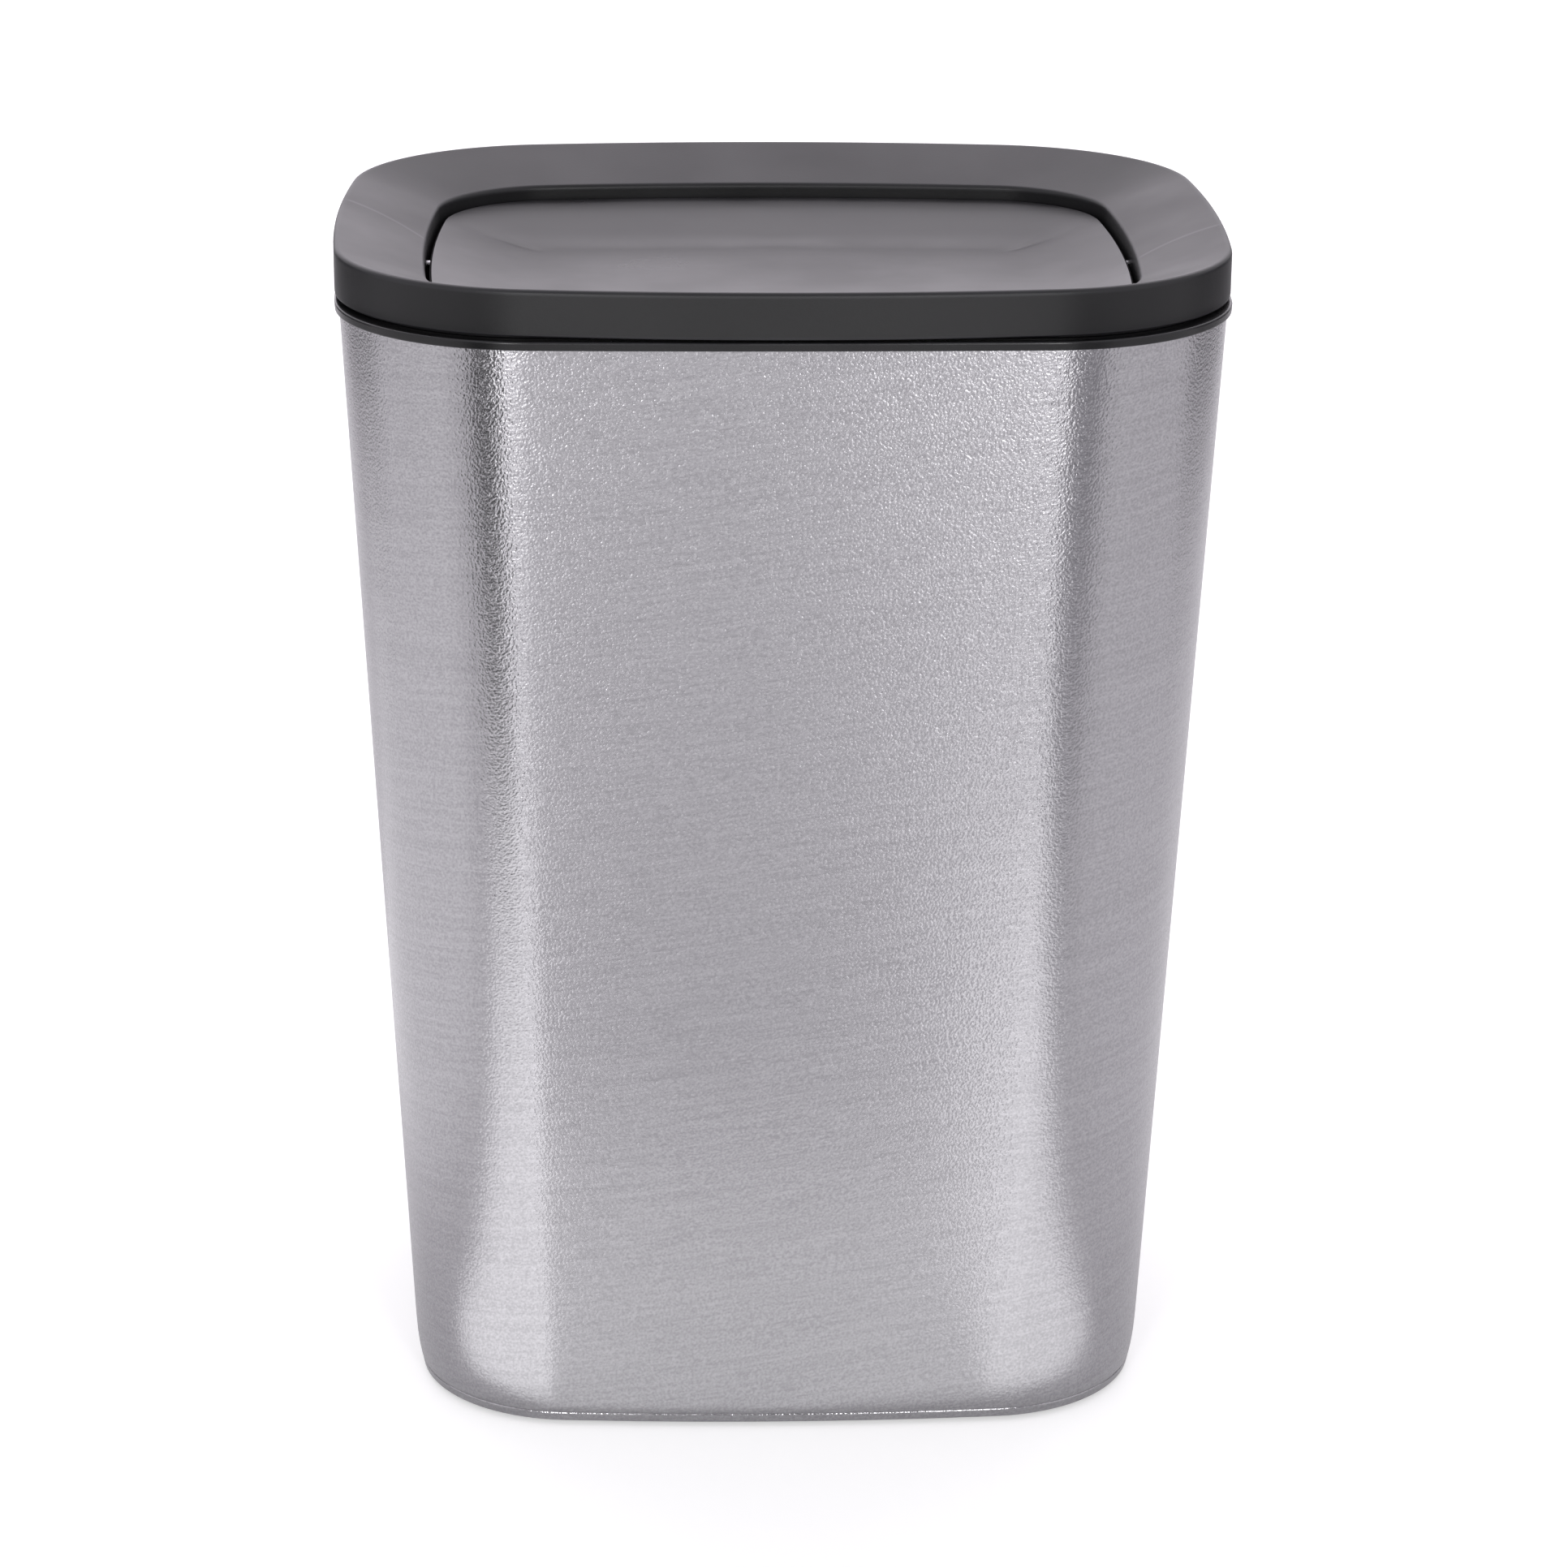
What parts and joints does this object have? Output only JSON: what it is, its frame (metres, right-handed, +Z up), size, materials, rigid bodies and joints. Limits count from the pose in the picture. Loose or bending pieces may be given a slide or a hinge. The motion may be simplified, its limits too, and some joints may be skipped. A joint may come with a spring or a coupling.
{
  "type": "countertop bin",
  "caption": "Tapered brushed steel countertop bin with rounded corners, a lift-off black lid ring, a dished swing flap on two pins and a lift-out inner bucket.",
  "frame": {"origin": "on the table under the middle of the bin, at the bottom of its feet", "axes": "+Z up, +X to the right and -Y out of the front, seen from the front"},
  "size_m": [0.19, 0.163, 0.2555],
  "materials": {
    "brushed_stainless": "fine horizontal brush, satin",
    "collar_plastic": "moulded, satin",
    "lid_plastic": "moulded, fine grain, satin",
    "flap_plastic": "moulded, satin",
    "bucket_plastic": "moulded, light grain",
    "base_plastic": "moulded, matt",
    "foot_rubber": "matt",
    "pin_steel": "drawn bright wire"
  },
  "bodies": {
    "shell": {"steel_sleeve": "brushed_stainless", "base_pan": "base_plastic", "foot_front_left": "foot_rubber", "foot_front_right": "foot_rubber", "foot_rear_left": "foot_rubber", "foot_rear_right": "foot_rubber", "rim_collar": "collar_plastic"},
    "bucket": {"inner_bucket": "bucket_plastic"},
    "lid": {"lid_frame": "lid_plastic"},
    "flap": {"flap": "flap_plastic", "pivot_pin_left": "pin_steel", "pivot_pin_right": "pin_steel"}
  },
  "joints": [
    {"name": "bucket_lift", "type": "slide", "parent": "shell", "child": "bucket", "axis": [0, 0, 1], "range_m": [0, 0.26]},
    {"name": "lid_lift", "type": "slide", "parent": "bucket", "child": "lid", "axis": [0, 0, 1], "range_m": [0, 0.08]},
    {"name": "flap_swing", "type": "hinge", "parent": "lid", "child": "flap", "pos_m": [0, 0, 0.2439], "axis": [1, 0, 0], "range_deg": [-90, 90]}
  ]
}
